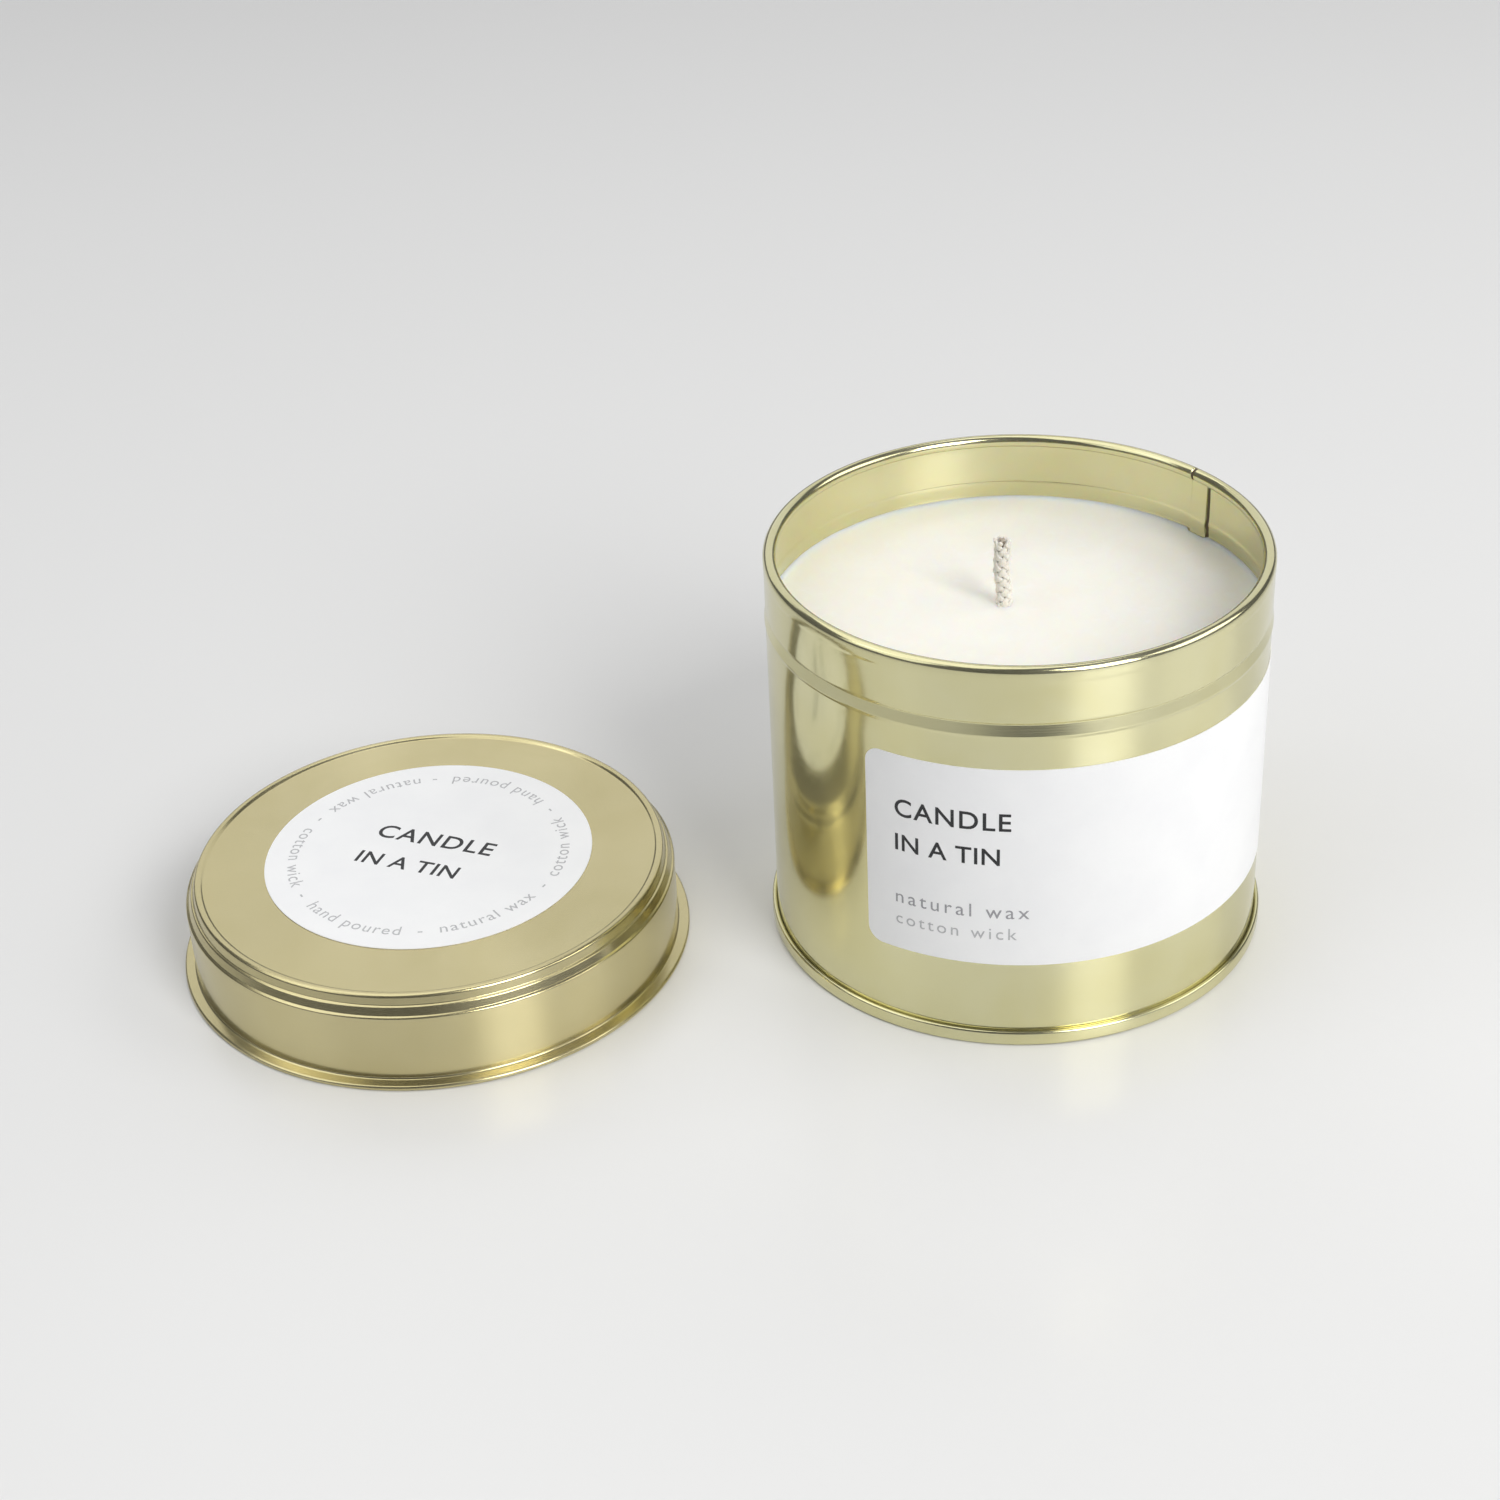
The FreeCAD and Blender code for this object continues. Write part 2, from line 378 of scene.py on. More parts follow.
def ramp(tree, value, low, high, out_low=0.0, out_high=1.0):
    """Maps a value from one range to another, with its ends held."""
    settings = {"Value": value, "From Min": low, "From Max": high, "To Min": out_low,
                "To Max": out_high}
    return add_node(tree, "MapRange", settings).outputs["Result"]


def blend_colours(tree, factor, first, second):
    return add_node(tree, "Mix", {0: factor, 6: first, 7: second}, data_type="RGBA").outputs[2]


def calculate(tree, operation, first, second=0.0):
    return add_node(tree, "Math", {0: first, 1: second}, operation=operation).outputs[0]


def bump(tree, height, distance, strength=1.0, under=None):
    inputs = {"Height": height, "Distance": distance, "Strength": strength}
    if under:
        inputs["Normal"] = under
    return add_node(tree, "Bump", inputs).outputs["Normal"]


def finish_material(material, tree, inputs):
    shader = add_node(tree, "BsdfPrincipled", inputs)
    add_node(tree, "OutputMaterial", {"Surface": shader.outputs["BSDF"]})
    return material


# ---- materials -----------------------------------------------------------------------------------


def tinplate(name, light, deep, roughness, haze, haze_roughness, haze_white):
    """Gold lacquered tinplate: a clear reflection, and a haze drawn upward by rolling lines."""
    material, tree = new_tree(name)
    place = object_place(tree)
    grain_around = noise_of(tree, object_place(tree, (0.02, 0.02, 1.0)), 5200.0, 2.0, 0.6)
    grain_across = noise_of(tree, object_place(tree, (0.02, 1.0, 0.02)), 5200.0, 2.0, 0.6)
    upward = add_node(tree, "SeparateXYZ", {0: add_node(tree, "NewGeometry").outputs["Normal"]})
    facing_up = calculate(tree, "ABSOLUTE", upward.outputs["Z"])
    level = ramp(tree, facing_up, 0.80, 0.95)
    grain = add_node(tree, "Mix", {0: level, 2: grain_around, 3: grain_across}).outputs[0]
    lacquer = noise_of(tree, place, 55.0, 4.0, 0.55, 0.4)
    specks = noise_of(tree, place, 900.0, 2.0, 0.5)
    smudge = noise_of(tree, place, 160.0, 3.0, 0.6, 1.2)
    colour = blend_colours(tree, ramp(tree, lacquer, 0.35, 0.65), light, deep)
    wear = ramp(tree, smudge, 0.55, 0.75, 0.0, 0.06)
    fine = ramp(tree, grain, 0.3, 0.7, -0.02, 0.02)
    spotted = ramp(tree, specks, 0.60, 0.75, 0.0, 0.02)
    rough = wear
    for change in (fine, spotted, roughness):
        rough = calculate(tree, "ADD", rough, change)
    waves = bump(tree, noise_of(tree, place, 48.0, 1.0), 0.00016)
    lines = bump(tree, grain, 0.000002, 1.0, waves)
    tangent = add_node(tree, "Tangent", direction_type="RADIAL", axis="Z").outputs[0]
    clear = add_node(tree, "BsdfPrincipled", {
        "Base Color": colour,
        "Metallic": 1.0,
        "Roughness": rough,
        "Normal": lines,
        "Coat Weight": 0.25,
        "Coat Roughness": 0.06,
    })
    hazy = add_node(tree, "BsdfPrincipled", {
        "Base Color": blend_colours(tree, haze_white, colour, (0.95, 0.94, 0.88, 1)),
        "Metallic": 1.0,
        "Roughness": haze_roughness,
        "Anisotropic": 0.85,
        "Anisotropic Rotation": 0.25,
        "Normal": lines,
        "Tangent": tangent,
    })
    mix = add_node(tree, "MixShader", {0: haze, 1: clear.outputs[0], 2: hazy.outputs[0]})
    add_node(tree, "OutputMaterial", {"Surface": mix.outputs[0]})
    return material


def bare_metal():
    material, tree = new_tree("bare_tinplate")
    lines = noise_of(tree, object_place(tree, (0.05, 1.0, 0.05)), 4200.0, 3.0, 0.6)
    return finish_material(material, tree, {
        "Base Color": blend_colours(tree, lines, (0.50, 0.50, 0.49, 1), (0.66, 0.66, 0.65, 1)),
        "Metallic": 1.0,
        "Roughness": ramp(tree, lines, 0.3, 0.7, 0.28, 0.42),
        "Normal": bump(tree, lines, 0.000006),
    })


def wax_material():
    """Poured wax: soft satin, a little see-through, with pale frosting and small pits."""
    material, tree = new_tree("ivory_wax")
    place = object_place(tree)
    clouds = noise_of(tree, place, 85.0, 5.0, 0.6, 0.8)
    frost = noise_of(tree, place, 420.0, 4.0, 0.65, 0.5)
    pits = add_node(tree, "TexVoronoi", {"Vector": place, "Scale": 260.0, "Randomness": 1.0})
    warm = blend_colours(tree, ramp(tree, clouds, 0.35, 0.68), (0.89, 0.87, 0.80, 1),
                         (0.905, 0.89, 0.84, 1))
    colour = blend_colours(tree, ramp(tree, frost, 0.56, 0.74, 0.0, 0.5), warm,
                           (0.92, 0.915, 0.89, 1))
    pitted = bump(tree, ramp(tree, pits.outputs["Distance"], 0.0, 0.16), 0.00002, 0.35)
    skin = bump(tree, frost, 0.00006, 0.7, pitted)
    return finish_material(material, tree, {
        "Base Color": colour,
        "Roughness": ramp(tree, clouds, 0.3, 0.7, 0.40, 0.56),
        "IOR": 1.44,
        "Subsurface Weight": 0.7,
        "Subsurface Radius": (1.0, 0.72, 0.42),
        "Subsurface Scale": 0.002,
        "Normal": skin,
    })


def cotton(name, pale, dark, twist):
    """Waxed cotton yarn: fine fibres that run with the twist, and darker threads between them."""
    material, tree = new_tree(name)
    place = object_place(tree)
    along = object_place(tree, (1.0, 1.0, twist))
    fibres = noise_of(tree, along, 5200.0, 3.0, 0.7, 0.6)
    stain = noise_of(tree, place, 420.0, 3.0, 0.55)
    threads = blend_colours(tree, ramp(tree, fibres, 0.35, 0.7), dark, pale)
    colour = blend_colours(tree, ramp(tree, stain, 0.45, 0.75, 0.0, 0.4), threads,
                           (0.86, 0.74, 0.66, 1))
    return finish_material(material, tree, {
        "Base Color": colour,
        "Roughness": ramp(tree, fibres, 0.3, 0.7, 0.60, 0.85),
        "Sheen Weight": 0.25,
        "Sheen Roughness": 0.4,
        "Subsurface Weight": 0.3,
        "Subsurface Radius": (1.0, 0.7, 0.5),
        "Subsurface Scale": 0.0008,
        "Normal": bump(tree, fibres, 0.00006, 0.9),
    })


def paper():
    """Matt coated label paper, with a faint weave of fibres under the coating."""
    material, tree = new_tree("label_paper")
    place = object_place(tree)
    fibres = noise_of(tree, place, 2600.0, 4.0, 0.7, 1.5)
    clouds = noise_of(tree, place, 120.0, 3.0, 0.5)
    white = blend_colours(tree, ramp(tree, clouds, 0.35, 0.65), (0.90, 0.905, 0.92, 1),
                          (0.925, 0.93, 0.94, 1))
    colour = blend_colours(tree, ramp(tree, fibres, 0.52, 0.80, 0.0, 0.35), white,
                           (0.84, 0.84, 0.86, 1))
    return finish_material(material, tree, {
        "Base Color": colour,
        "Roughness": ramp(tree, fibres, 0.3, 0.7, 0.48, 0.62),
        "Normal": bump(tree, fibres, 0.000012, 0.6),
    })


def ink(name, colour, worn):
    """Printing ink, thinner over the paper's high fibres."""
    material, tree = new_tree(name)
    grain = noise_of(tree, object_place(tree), 3600.0, 3.0, 0.6)
    return finish_material(material, tree, {
        "Base Color": blend_colours(tree, ramp(tree, grain, 0.45, 0.75), colour, worn),
        "Roughness": ramp(tree, grain, 0.3, 0.7, 0.36, 0.52),
        "Normal": bump(tree, grain, 0.000006, 0.5),
    })


def rubbery(name, pale, dark):
    material, tree = new_tree(name)
    grain = noise_of(tree, object_place(tree), 1800.0, 4.0, 0.6)
    return finish_material(material, tree, {
        "Base Color": blend_colours(tree, grain, dark, pale),
        "Roughness": ramp(tree, grain, 0.3, 0.7, 0.6, 0.8),
        "Normal": bump(tree, grain, 0.00004, 0.6),
    })


# ---- tin -----------------------------------------------------------------------------------------


def neck_route():
    """Middle line of the bead, as corners (r, z, bend radius)."""
    return [
        (MIDDLE, BEAD_LOW, 0.5),
        (MIDDLE + CREST_RISE, BEAD_CREST, 0.3),
        (MIDDLE - VALLEY_DEPTH, BEAD_VALLEY, 0.3),
        (MIDDLE, BEAD_HIGH, 0.5),
    ]


def wall_route():
    """Middle line of the rolled wall, from its hook in the base seam up and round the rim curl."""
    curl_bend = RIM_CURL / 2 - HALF
    side = MIDDLE + RIM_PROUD
    top = TIN_HEIGHT - HALF
    far = side - 2 * curl_bend
    low = top - 2 * curl_bend
    neck_top = TIN_HEIGHT - RIM_CURL - 0.5
    hook = MIDDLE + 2 * LAYER_STEP
    hook_low = 0.60 + HALF
    return [
        (hook, 1.85, 0),
        (hook, hook_low, LAYER_STEP),
        (MIDDLE, hook_low, LAYER_STEP),
        (MIDDLE, 3.0, 40.0),
        *neck_route(),
        (MIDDLE, neck_top, 1.0),
        (side, neck_top + 0.4, 1.0),
        (side, top, curl_bend),
        (far, top, curl_bend),
        (far, low, curl_bend),
        (far + curl_bend + 0.15, low, 0),
    ]


def seam_wobble(z):
    """How uneven the side seam's edge is at a height, in degrees."""
    return 0.05 * math.sin(z * 0.45) + 0.03 * math.sin(z * 1.3)


def curl_warp(r, z, azimuth):
    """Pinches the inner side of the rim's curl where its two ends meet."""
    middle_r = MIDDLE + RIM_PROUD - RIM_CURL / 2 + HALF
    middle_z = TIN_HEIGHT - RIM_CURL / 2
    pinch = 1 - smoothstep(0.20, 0.62, abs(azimuth - CURL_JOINT))
    inner = smoothstep(middle_r + 0.6, middle_r - 0.3, r)
    shrink = 1 - CURL_PINCH * pinch * inner
    return middle_r + (r - middle_r) * shrink, middle_z + (z - middle_z) * shrink


def wall_warp(r, z, azimuth):
    """Side seam, as a strip and a crevice inside and two grooves outside, and the bead's depth."""
    if z > TIN_HEIGHT - RIM_CURL - 0.05:
        return curl_warp(r, z, azimuth)
    if not LOCK_LOW < z < LOCK_HIGH:
        return r, z
    into = azimuth - LOCK_START
    wobble = seam_wobble(z)
    shift = neck_shift(z)
    if r < shift + MIDDLE:
        r += (BEAD_INSIDE * bead_depth(azimuth) - 1) * shift
        strip = smoothstep(-0.10, 0.06, into + wobble)
        strip *= 1 - smoothstep(LOCK_WIDTH - 0.30, LOCK_WIDTH, into)
        crevice = 1 - smoothstep(0.22, 0.36, abs(into + wobble + 0.42))
        fade = smoothstep(LOCK_LOW, LOCK_LOW + 0.7, z)
        fade *= 1 - smoothstep(LOCK_HIGH - 0.6, LOCK_HIGH, z)
        return r - (LOCK_RISE * strip - CREVICE_DEPTH * crevice) * fade, z
    first = 1 - smoothstep(0.10, 0.32, abs(into - LOCK_LINE))
    second = 1 - smoothstep(0.08, 0.26, abs(into - LOCK_WIDTH))
    r += (bead_depth(azimuth) - 1) * shift
    return r - FIRST_GROOVE * first - SECOND_GROOVE * second, z


def bead_depth(azimuth):
    """Share of the bead's full depth: the spun bead is deepest near the front."""
    away = (azimuth - BEAD_FRONT + 180) % 360 - 180
    return BEAD_LEAST + (1 - BEAD_LEAST) * math.exp(-(away / BEAD_SPREAD) ** 2)


def neck_shift(z):
    """How far the bead moves the wall's middle line at a height."""
    corners = [(0.0, 0.0)] + [(height, r - MIDDLE) for r, height, _ in neck_route()]
    corners.append((TIN_HEIGHT, 0.0))
    for (low, before), (high, after) in zip(corners, corners[1:]):
        if low <= z <= high:
            return before + (after - before) * (z - low) / (high - low)
    return 0.0


def make_wall(material):
    azimuths = set(even_azimuths(ROUND_STEPS))
    edges = (LOCK_START - 0.3, LOCK_START, LOCK_START + LOCK_LINE, LOCK_START + LOCK_WIDTH,
             CURL_JOINT)
    for edge in edges:
        azimuths.update(edge + 0.06 * step for step in range(-13, 14))
    outline = split_tall(sheet_outline(wall_route()), 3.0)
    bm = lathe(outline, apart(azimuths), warp=wall_warp)
    return add_piece(finished("tin_wall", bm), "tin", material, "gold_tinplate", "body_wall")


def make_seam_painted_shade(material):
    """Painted shade: dark strips that stand in for the shadow in the crevice beside the side seam,
    and across the joint of the rim's curl.
    """
    bm = bmesh.new()
    low, high, steps = 4.0, TIN_HEIGHT - 2.75, 60
    points, outwards, wide, thick = [], [], [], []
    for step in range(steps + 1):
        z = low + (high - low) * step / steps
        angle = math.radians(LOCK_START - 0.40 - seam_wobble(z))
        radius = MIDDLE - HALF + neck_shift(z) + 0.02
        out = Vector((math.sin(angle), -math.cos(angle), 0))
        points.append(out * radius + Vector((0, 0, z)))
        outwards.append(out)
        wide.append(0.31 + 0.04 * math.sin(z * 2.1))
        thick.append(0.085)
    tube(bm, points, wide, thick, outwards)

    # Painted shade across the joint of the rim's curl: a dark strip where the curl's ends meet.
    curl, steps = RIM_CURL / 2, 24
    angle = math.radians(CURL_JOINT)
    out = Vector((math.sin(angle), -math.cos(angle), 0))
    centre = out * (MIDDLE + RIM_PROUD + HALF - curl) + Vector((0, 0, TIN_HEIGHT - curl))
    points, outwards = [], []
    for step in range(steps + 1):
        turn = math.radians(75 + 150 * step / steps)
        spoke = out * math.cos(turn) + Vector((0, 0, math.sin(turn)))
        points.append(centre + spoke * (curl - 0.12))
        outwards.append(spoke)
    tube(bm, points, [0.20] * len(points), [0.10] * len(points), outwards)
    return add_piece(finished("side_seam_painted_shade", bm), "tin", material, "sealing_rubber")


def make_base(material):
    """Panel, chuck wall and cover of the double seam, from the middle outwards and in again."""
    chuck = MIDDLE - LAYER_STEP
    hook = MIDDLE + LAYER_STEP
    cover = MIDDLE + 3 * LAYER_STEP
    panel = PANEL_HEIGHT - HALF
    top = SEAM_HEIGHT - HALF
    route = [
        (0, panel, 0),
        (chuck, panel, 0.6),
        (chuck, HALF, 0.4),
        (cover, HALF, 0.4),
        (cover, top, LAYER_STEP),
        (hook, top, LAYER_STEP),
        (hook, 1.15, 0),
    ]
    bm = lathe(sheet_outline(route), even_azimuths(ROUND_STEPS))
    return add_piece(finished("tin_base", bm), "tin", material, "gold_tinplate", "base_plate")


# ---- candle --------------------------------------------------------------------------------------


def wax_height(x, y):
    """Height of the wax over its level: meniscus at the wall, swell at the wick, slow waves."""
    r = math.hypot(x, y)
    from_wick = math.hypot(x - WICK_X, y - WICK_Y)
    waves = 0.16 * noise.noise((x * 0.06, y * 0.06, 3.7))
    ripples = 0.045 * noise.noise((x * 0.23, y * 0.23, 9.1))
    sink = -0.10 * math.exp(-((r - 30.0) / 5.0) ** 2)
    swell = 0.42 * math.exp(-(from_wick / 2.3) ** 2)
    swell -= 0.10 * math.exp(-((from_wick - 6) / 2.5) ** 2)
    meniscus = 0.5 * math.exp(-(WAX_EDGE - r) / 0.45)
    return waves * (1 - smoothstep(36.0, WAX_EDGE, r)) + ripples + sink + swell + meniscus - 0.08


def make_wax(material):
    """Rings from the middle out to the wall, closer together at the edge, then down to the base."""
    segments = 300
    radii = {WAX_EDGE * (i / 56) for i in range(1, 50)}
    radii.update(WAX_EDGE - 4.8 * (1 - i / 24) ** 1.6 for i in range(25))
    bm = bmesh.new()
    top = bm.verts.new((0, 0, WAX_LEVEL + wax_height(0, 0)))
    rings = []
    for radius in sorted(radii):
        at_edge = smoothstep(WAX_EDGE - 1.2, WAX_EDGE, radius)
        ring = []
        for azimuth in even_azimuths(segments):
            angle = math.radians(azimuth)
            into = azimuth - LOCK_START
            strip = smoothstep(-0.5, 0.0, into)
            strip *= 1 - smoothstep(LOCK_WIDTH, LOCK_WIDTH + 0.5, into)
            r = radius - (LOCK_RISE + 0.05) * strip * at_edge
            x, y = r * math.sin(angle), -r * math.cos(angle)
            ring.append(bm.verts.new((x, y, WAX_LEVEL + wax_height(x, y))))
        rings.append(ring)
    bottom = PANEL_HEIGHT + GAP
    for height, inset in ((WAX_LEVEL - 0.8, 0.0), (bottom + 0.5, 0.0), (bottom, 0.5)):
        ring = []
        for vert in rings[-1]:
            radius = math.hypot(vert.co.x, vert.co.y)
            shrink = (radius - inset) / radius
            ring.append(bm.verts.new((vert.co.x * shrink, vert.co.y * shrink, height)))
        rings.append(ring)
    for i in range(segments):
        bm.faces.new((top, rings[0][i], rings[0][(i + 1) % segments]))
    for here, there in zip(rings, rings[1:]):
        for i in range(segments):
            j = (i + 1) % segments
            bm.faces.new((here[i], there[i], there[j], here[j]))
    bm.faces.new(rings[-1])
    return add_piece(finished("wax", bm), "tin", material, "ivory_wax", "wax_fill")


def wick_middle(z):
    """Middle of the wick at a height: upright in the wax, then leaning, with a slight wander."""
    over = max(0.0, z - WAX_LEVEL)
    free = smoothstep(0.0, 3.0, over)
    x = WICK_X - math.tan(WICK_LEAN) * over * free + 0.16 * free * math.sin(over * 0.75)
    y = WICK_Y + 0.12 * free * math.sin(over * 0.55 + 1.0)
    return Vector((x, y, z))


def make_wick_braid(material):
    """Eight flat yarns plaited over and under each other round the core."""
    bm = bmesh.new()
    pitch = 7.0
    per_turn = 48
    reach, weave = 0.90, 0.17
    half_width, half_thickness = 0.46, 0.27
    bottom = wick_low.z
    top = wick_high.z - 0.25
    count = int((top - bottom) / pitch * per_turn)
    spread = random.Random(4)
    for yarn in range(8):
        hand = 1 if yarn < 4 else -1
        first = math.radians(90.0 * (yarn % 4))
        end = top - spread.uniform(0.0, 0.5)
        points, outwards, wide, thick = [], [], [], []
        for step in range(count + 1):
            z = bottom + (end - bottom) * step / count
            turn = 2 * math.pi * (z - bottom) / pitch
            flare = smoothstep(end - 1.6, end, z)
            over = weave * math.cos(4 * turn) * hand
            radius = reach + over + 0.12 * flare
            angle = first + hand * turn
            out = Vector((math.cos(angle), math.sin(angle), 0))
            loose = 0.04 * noise.noise((yarn * 3.1, z * 0.7, 1.3))
            points.append(wick_middle(z) + out * (radius + loose))
            outwards.append(out)
            wide.append(half_width - 0.06 * flare)
            thick.append(half_thickness)
        tube(bm, points, wide, thick, outwards)
    return add_piece(finished("wick_plait", bm), "tin", material, "wick_cotton", "wick_braid")


def make_wick_core(material):
    """Three paper filaments twisted together."""
    bm = bmesh.new()
    bottom = wick_low.z
    top = wick_high.z - 0.15
    steps = 240
    pitch, reach, thick = 4.5, 0.26, 0.24
    for strand in range(3):
        points, outwards = [], []
        for step in range(steps + 1):
            z = bottom + (top - bottom) * step / steps
            angle = math.radians(120 * strand) + 2 * math.pi * z / pitch
            out = Vector((math.cos(angle), math.sin(angle), 0))
            points.append(wick_middle(z) + out * reach)
            outwards.append(out)
        tube(bm, points, [thick] * len(points), [thick] * len(points), outwards)
    return add_piece(finished("wick_filaments", bm), "tin", material, "wick_paper", "wick_core")


def make_wick_fuzz(material):
    """Loose fibres at the cut end and down the sides of the wick."""
    bm = bmesh.new()
    hairs, end_hairs, steps = 90, 34, 5
    spread = random.Random(11)
    for hair in range(hairs):
        at_end = hair < end_hairs
        z = wick_high.z - 0.45 if at_end else spread.uniform(WAX_LEVEL + 0.3, wick_high.z - 1.0)
        angle = spread.uniform(0, 2 * math.pi)
        out = Vector((math.cos(angle), math.sin(angle), 0))
        start = wick_middle(z) + out * (spread.uniform(0.3, 1.1) if at_end else 1.15)
        length = spread.uniform(0.25, 0.6)
        if at_end:
            heading = out * spread.uniform(0.1, 1.1) + Vector((0, 0, 0.55))
        else:
            heading = out * spread.uniform(0.3, 0.8) + Vector((0, 0, spread.uniform(-1, 1)))
        heading.normalize()
        curl = Vector((spread.uniform(-1, 1), spread.uniform(-1, 1), spread.uniform(-0.6, 0.2)))
        points, outwards = [], []
        for step in range(steps + 1):
            t = step / steps
            point = start + heading * length * t + curl * 0.22 * length * t * t
            point.z = min(point.z, wick_high.z)
            points.append(point)
            outwards.append(out)
        width = [0.030 * (1 - 0.6 * step / steps) for step in range(steps + 1)]
        tube(bm, points, width, width, outwards, sides=5)
    return add_piece(finished("wick_fuzz", bm), "tin", material, "wick_cotton")


# ---- lid -----------------------------------------------------------------------------------------


def make_lid(material):
    """Panel, ridge, two steps, skirt, flare and rolled edge, from the middle outwards."""
    crest = LID_HEIGHT - HALF
    panel = crest - LID_PANEL_DROP
    rim = LID_RIM_RADIUS - HALF
    rim_top = HALF + 2 * LID_RIM_BEND
    rim_back = rim - 2 * LID_RIM_BEND - 0.02
    route = [
        (0, panel, 0),
        (LID_SKIRT - 2.85, panel, 0.40),
        (LID_SKIRT - 2.50, crest, 0.35),
        (LID_SKIRT - 1.65, crest, 0.45),
        (LID_SKIRT - 1.30, crest - 1.50, 0.30),
        (LID_SKIRT - 0.90, crest - 1.62, 0.22),
        (LID_SKIRT - 0.42, crest - 2.80, 0.25),
        (LID_SKIRT, crest - 3.00, 0.25),
        (LID_SKIRT, LID_FLARE_HEIGHT, LID_FLARE_BEND),
        (rim, rim_top, LID_RIM_BEND),
        (rim, HALF, LID_RIM_BEND),
        (rim_back, HALF, LID_RIM_BEND),
        (rim_back, HALF + LID_RIM_BEND + 0.10, 0),
    ]
    bm = lathe(sheet_outline(route), even_azimuths(ROUND_STEPS), (LID_X, LID_Y))
    return add_piece(finished("lid", bm), "lid", material, "satin_gold_tinplate", "lid_shell")


# ---- labels --------------------------------------------------------------------------------------


def on_wall(x, y, height):
    """A point of the wall's label: x along the arc from its left end, y up from the table."""
    radius = LABEL_RADIUS + height
    angle = LABEL_START + x / (LABEL_RADIUS + PAPER)
    return Vector((radius * math.sin(angle), -radius * math.cos(angle), y))


def on_lid(x, y, height):
    """A point of the lid's label: x and y from its centre, turned as the label was stuck on."""
    centre = (round_low + round_high) / 2
    turned = Matrix.Rotation(LID_TURN, 2) @ Vector((x, y))
    return Vector((centre.x + turned.x, centre.y + turned.y, round_low.z + height))


def rounded_rectangle(left, right, bottom, top, corner, steps=8):
    bm = bmesh.new()
    verts = []
    centres = ((right - corner, top - corner), (left + corner, top - corner),
               (left + corner, bottom + corner), (right - corner, bottom + corner))
    for quarter, (x, y) in enumerate(centres):
        for step in range(steps + 1):
            angle = math.pi / 2 * (quarter + step / steps)
            reach = (corner * math.cos(angle), corner * math.sin(angle))
            verts.append(bm.verts.new((x + reach[0], y + reach[1], 0)))
    bm.faces.new(verts)
    return bm


def make_wall_label(material):
    bm = rounded_rectangle(0, LABEL_LENGTH, label_low.z, label_high.z, LABEL_CORNER)
    slab(bm, PAPER, 0.8, on_wall)
    return add_piece(finished("wall_label", bm), "tin", material, "label_paper", "front_label")


def make_round_label(material):
    radius = (round_high.x - round_low.x) / 2
    bm = bmesh.new()
    bmesh.ops.create_circle(bm, cap_ends=True, radius=radius, segments=180)
    slab(bm, PAPER, 4.0, on_lid)
    return add_piece(finished("round_label", bm), "lid", material, "label_paper", "lid_label")


def words(text, width, spacing, bold):
    """Flat lettering in the XY plane, its left end and baseline at the origin, to a total width."""
    curve = bpy.data.curves.new("lettering", "FONT")
    curve.body = text
    curve.space_character = spacing
    curve.fill_mode = "FRONT"
    curve.resolution_u = 5
    curve.offset = bold
    holder = bpy.data.objects.new("lettering", curve)
    bpy.context.scene.collection.objects.link(holder)
    depsgraph = bpy.context.evaluated_depsgraph_get()
    mesh = bpy.data.meshes.new_from_object(holder.evaluated_get(depsgraph))
    bm = bmesh.new()
    bm.from_mesh(mesh)
    bpy.data.objects.remove(holder)
    bpy.data.curves.remove(curve)
    bpy.data.meshes.remove(mesh)
    bmesh.ops.remove_doubles(bm, verts=bm.verts[:], dist=1e-5)
    low = min(v.co.x for v in bm.verts)
    high = max(v.co.x for v in bm.verts)
    scale = width / (high - low)
    for vert in bm.verts:
        vert.co = Vector(((vert.co.x - low) * scale, vert.co.y * scale, 0))
    return bm


def printed(name, text, width, spacing, place, body, material, cut_step=0.35, bold=0.0):
    """One printed line, as raised ink.  bold thickens its strokes."""
    bm = words(text, width, spacing, bold)
    slab(bm, INK, cut_step, place)
    return add_piece(finished(name, bm), body, material, "label_paper")


def make_print(black, grey, pale_grey):
    """Generic wording in the places of the printed lines."""
    left = 5.0
    ink_low = PAPER - INK_SUNK

    def line_on_wall(baseline):
        return lambda x, y, height: on_wall(left + x, baseline + y, ink_low + height)

    def line_on_lid(start, baseline):
        return lambda x, y, height: on_lid(start + x, baseline + y, ink_low + height)

    def ring_on_lid(radius, start):
        def place(x, y, height):
            angle = math.radians(start) + x / radius
            reach = radius - y
            return on_lid(reach * math.sin(angle), -reach * math.cos(angle), ink_low + height)
        return place

    def bold_line(name, text, width, spacing, place, body):
        printed(name, text, width, spacing, place, body, black, bold=BLACK_WEIGHT)

    def small_line(name, text, width, spacing, place, body, colour):
        printed(name, text, width, spacing, place, body, colour, cut_step=0.5)

    bold_line("wall_print_1", "CANDLE", 17.6, 1.12, line_on_wall(38.4), "tin")
    bold_line("wall_print_2", "IN A TIN", 16.0, 1.05, line_on_wall(32.4), "tin")
    small_line("wall_print_3", "natural wax", 20.4, 1.3, line_on_wall(23.0), "tin", grey)
    small_line("wall_print_4", "cotton wick", 18.6, 1.3, line_on_wall(19.2), "tin", pale_grey)
    bold_line("lid_print_1", "CANDLE", 20.4, 1.12, line_on_lid(-10.6, 1.9), "lid")
    bold_line("lid_print_2", "IN A TIN", 17.6, 1.05, line_on_lid(-10.6, -5.6), "lid")
    ring = "natural wax  -  cotton wick  -  hand poured  -  " * 2
    ring_radius = 22.6
    length = 2 * math.pi * ring_radius * 0.985
    small_line("lid_print_ring", ring, length, 1.15, ring_on_lid(ring_radius, -150), "lid",
               pale_grey)


# ---- stage ---------------------------------------------------------------------------------------


